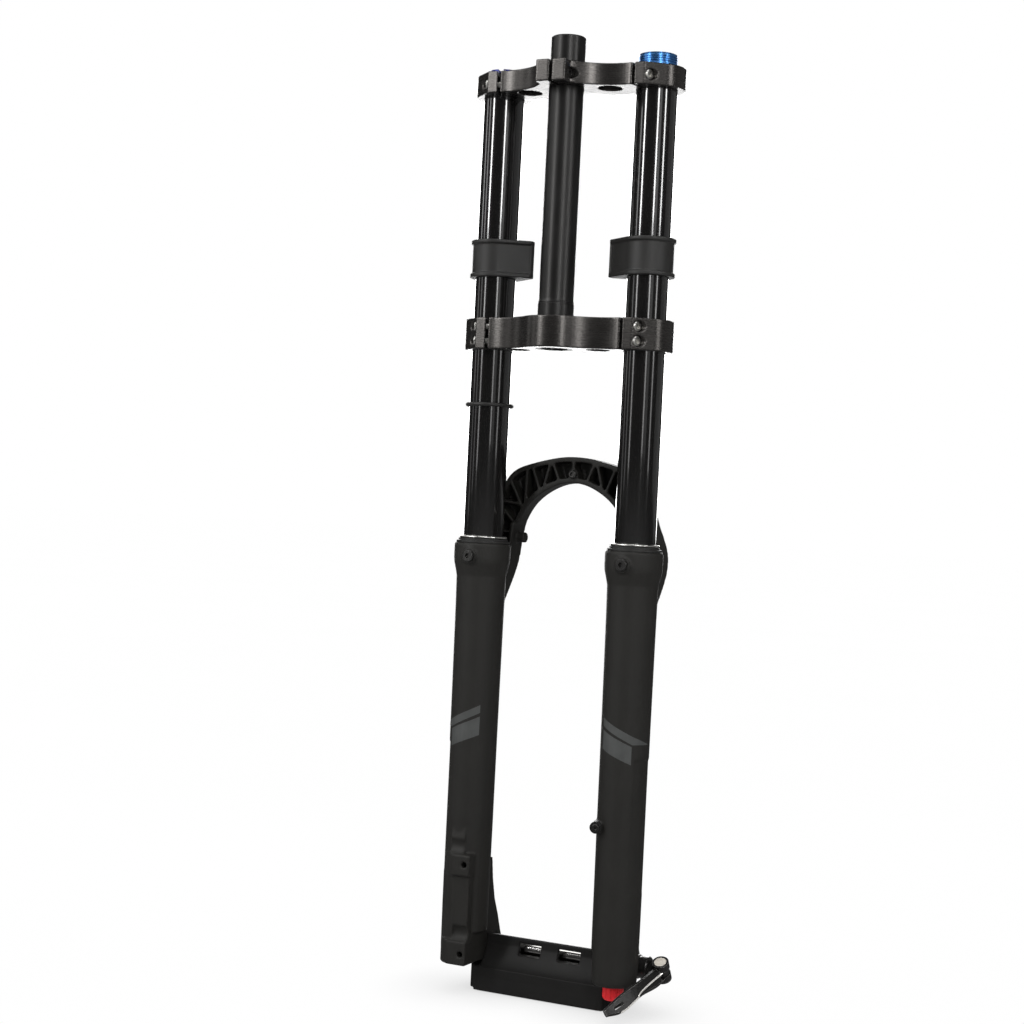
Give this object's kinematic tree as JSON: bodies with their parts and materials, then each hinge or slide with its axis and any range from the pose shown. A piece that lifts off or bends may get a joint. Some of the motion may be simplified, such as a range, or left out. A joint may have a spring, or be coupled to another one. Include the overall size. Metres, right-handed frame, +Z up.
{
  "type": "suspension fork",
  "caption": "Dual-crown telescopic bicycle fork with one-piece ribbed-arch lowers, quick-release through axle and post-mount brake bosses.",
  "frame": {"origin": "steerer axis at the crown-race seat, the top face of the lower crown", "axes": "+Z up along the steerer, +Y forward, +X towards the drive side"},
  "size_m": [0.1986, 0.1144, 0.7895],
  "materials": {
    "casting": "matte powder-coated charcoal",
    "crown": "satin black anodised",
    "steerer": "satin black anodised",
    "stanchion": "gloss black anodised",
    "rubber": "matte black rubber",
    "blue_cap": "bright blue anodised",
    "red_knob": "red anodised",
    "bolt": "bright zinc",
    "dark_bolt": "black oxide",
    "spring_wire": "polished",
    "spacer_plastic": "moulded matte black",
    "valve_brass": "machined",
    "bushing": "coated bronze",
    "foam": "open-cell foam",
    "inner_plastic": "moulded",
    "inner_alloy": "machined",
    "axle_alloy": "polished",
    "lever_alloy": "black anodised, bright bevels"
  },
  "bodies": {
    "chassis": {"steerer_tube": "steerer", "upper_crown": "crown", "lower_crown": "crown", "steerer_pinch_bolt": "dark_bolt", "upper_crown_bolts": "bolt", "lower_crown_bolts": "bolt", "stanchion_left": "stanchion", "stanchion_right": "stanchion", "bumper_left": "rubber", "bumper_right": "rubber", "air_top_cap": "blue_cap", "air_valve": "valve_brass", "damper_top_cap": "blue_cap", "cap_o_rings": "rubber", "volume_spacers": "inner_plastic", "damper_tube": "inner_alloy", "damper_seal_head": "inner_alloy", "compression_valve": "inner_alloy", "air_seal_head": "inner_alloy"},
    "lowers": {"lower_casting": "casting", "damper_rod": "inner_alloy", "damper_piston": "inner_alloy", "air_shaft": "inner_alloy", "air_piston": "inner_plastic", "air_piston_seal": "rubber", "top_out_bumper": "rubber", "bleed_screws": "dark_bolt", "arch_screw": "dark_bolt", "foot_nuts": "dark_bolt", "crush_washers": "inner_alloy", "axle_nut": "lever_alloy", "cable_guide": "spacer_plastic", "cable_guide_screw": "dark_bolt", "shipping_spacer": "spacer_plastic", "wiper_seal_left": "rubber", "garter_spring_left": "spring_wire", "foam_ring_left": "foam", "upper_bushing_left": "bushing", "lower_bushing_left": "bushing", "wiper_seal_right": "rubber", "garter_spring_right": "spring_wire", "foam_ring_right": "foam", "upper_bushing_right": "bushing", "lower_bushing_right": "bushing"},
    "ring": {"travel_ring": "rubber"},
    "rebound": {"rebound_knob": "red_knob", "rebound_rod": "inner_alloy"},
    "axle_set": {"axle": "axle_alloy"},
    "lever": {"qr_lever": "lever_alloy", "cam_pin": "bolt"}
  },
  "joints": [
    {"name": "fork_travel", "type": "slide", "parent": "chassis", "child": "lowers", "axis": [0, 0, 1], "range_m": [0, 0.14]},
    {"name": "ring_slide", "type": "slide", "parent": "chassis", "child": "ring", "axis": [0, 0, 1], "range_m": [0, 0.035]},
    {"name": "rebound_turn", "type": "hinge", "parent": "lowers", "child": "rebound", "pos_m": [0.069, 0.025, -0.543], "axis": [0, 0, 1], "range_deg": [0, 330]},
    {"name": "axle_slide", "type": "slide", "parent": "lowers", "child": "axle_set", "axis": [1, 0, 0], "range_m": [0, 0.155]},
    {"name": "lever_swing", "type": "hinge", "parent": "axle_set", "child": "lever", "pos_m": [0.099, 0.054, -0.527], "axis": [0, -0.5, 0.866], "range_deg": [0, 165]}
  ],
  "couplings": [
    {"joint": "ring_slide", "follows": "fork_travel", "ratio": 0.25}
  ]
}
